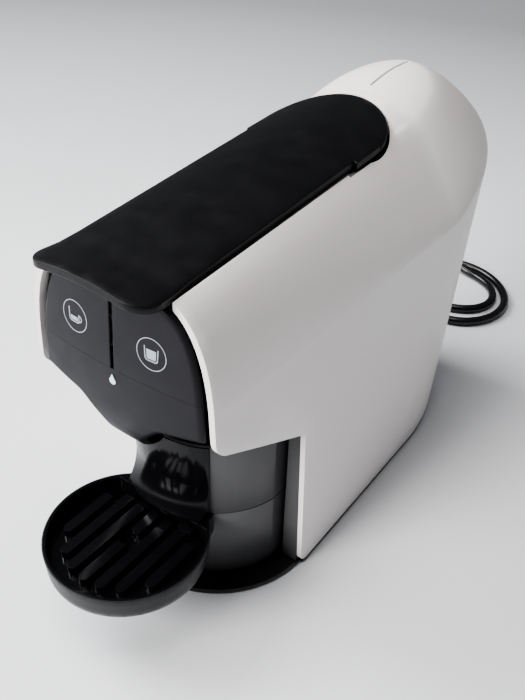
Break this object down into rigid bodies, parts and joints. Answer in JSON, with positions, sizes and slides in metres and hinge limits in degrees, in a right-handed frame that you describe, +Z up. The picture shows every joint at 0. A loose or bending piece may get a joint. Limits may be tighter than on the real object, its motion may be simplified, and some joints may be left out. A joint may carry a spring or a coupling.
{
  "type": "pod coffee machine",
  "caption": "Slim capsule coffee machine: white hood on a black base, lever lid, two-key panel, round cup tray on a drip drawer, rear water tank and mains cord.",
  "frame": {"origin": "centre of the machine's footprint box, cord left out, on the table plane", "axes": "+X to the machine's right, -Y to its front with the cup tray, +Z up"},
  "size_m": [0.236, 0.5168, 0.2481],
  "materials": {
    "hood_white": "fine satin",
    "lid_black": "satin",
    "panel_charcoal": "satin",
    "trim_black_gloss": "polished",
    "body_black": "fine matte",
    "seat_grey": "satin",
    "inner_grey": "plain moulded",
    "tank_smoke": "clear moulded",
    "lens_white": "translucent",
    "feet_rubber": "matte",
    "hose_silicone": "matte",
    "cord_black": "satin sheath",
    "steel": "plain",
    "plug_metal": "plated",
    "heater_aluminium": "cast",
    "board_green": "solder mask"
  },
  "bodies": {
    "housing": {"hood": "hood_white", "base_plate": "body_black", "feet": "feet_rubber", "base_screws": "steel", "column_frame": "body_black", "head_floor": "body_black", "front_fascia": "panel_charcoal", "indicator_lens": "lens_white", "panel_frame": "trim_black_gloss", "spout": "trim_black_gloss", "switch_board": "board_green", "key_switches": "inner_grey", "hinge_pins": "steel", "lid_seat": "seat_grey", "brew_head": "inner_grey", "brew_frame": "inner_grey", "capsule_chute": "trim_black_gloss", "thermoblock": "heater_aluminium", "pump": "steel", "pump_mounts": "feet_rubber", "flow_meter": "inner_grey", "control_board": "board_green", "board_bracket": "inner_grey", "tank_socket": "inner_grey", "supply_hose": "hose_silicone", "pump_hose": "hose_silicone", "pressure_hose": "hose_silicone", "brew_hose": "hose_silicone", "cord": "cord_black", "cord_coil": "cord_black", "cord_tie": "cord_black", "cord_tail": "cord_black", "plug": "cord_black", "plug_pins": "plug_metal", "cord_gland": "cord_black"},
    "lid": {"lid": "lid_black", "lid_crank": "steel"},
    "holder": {"capsule_holder": "inner_grey"},
    "left_key": {"key_left": "panel_charcoal"},
    "right_key": {"key_right": "panel_charcoal"},
    "drawer": {"drip_drawer": "body_black", "cup_tray": "trim_black_gloss", "drip_grid": "trim_black_gloss"},
    "container": {"capsule_container": "body_black", "container_front": "trim_black_gloss"},
    "tank": {"water_tank": "tank_smoke"},
    "tank_cover": {"tank_lid": "body_black"}
  },
  "joints": [
    {"name": "lid_hinge", "type": "hinge", "parent": "housing", "child": "lid", "pos_m": [0, 0.0121, 0.221], "axis": [-1, 0, 0], "range_deg": [0, 60]},
    {"name": "holder_slide", "type": "slide", "parent": "housing", "child": "holder", "axis": [0, -1, 0], "range_m": [0, 0.034]},
    {"name": "left_key_press", "type": "hinge", "parent": "housing", "child": "left_key", "pos_m": [-0.025, -0.1373, 0.1704], "axis": [-1, 0, 0], "range_deg": [0, 1.2], "stiffness_Nm_per_rad": 2.1, "springref_deg": -0.57},
    {"name": "right_key_press", "type": "hinge", "parent": "housing", "child": "right_key", "pos_m": [0.025, -0.1373, 0.1704], "axis": [-1, 0, 0], "range_deg": [0, 1.2], "stiffness_Nm_per_rad": 2.1, "springref_deg": -0.57},
    {"name": "drawer_slide", "type": "slide", "parent": "housing", "child": "drawer", "axis": [0, -1, 0], "range_m": [0, 0.12]},
    {"name": "container_slide", "type": "slide", "parent": "drawer", "child": "container", "axis": [0, -1, 0], "range_m": [0, 0.095]},
    {"name": "tank_slide", "type": "slide", "parent": "housing", "child": "tank", "axis": [0, 1, 0], "range_m": [0, 0.1]},
    {"name": "tank_lid_slide", "type": "slide", "parent": "tank", "child": "tank_cover", "axis": [0, 1, 0], "range_m": [0, 0.09]}
  ],
  "couplings": [
    {"joint": "holder_slide", "follows": "lid_hinge", "m_per_rad": 0.03246}
  ]
}
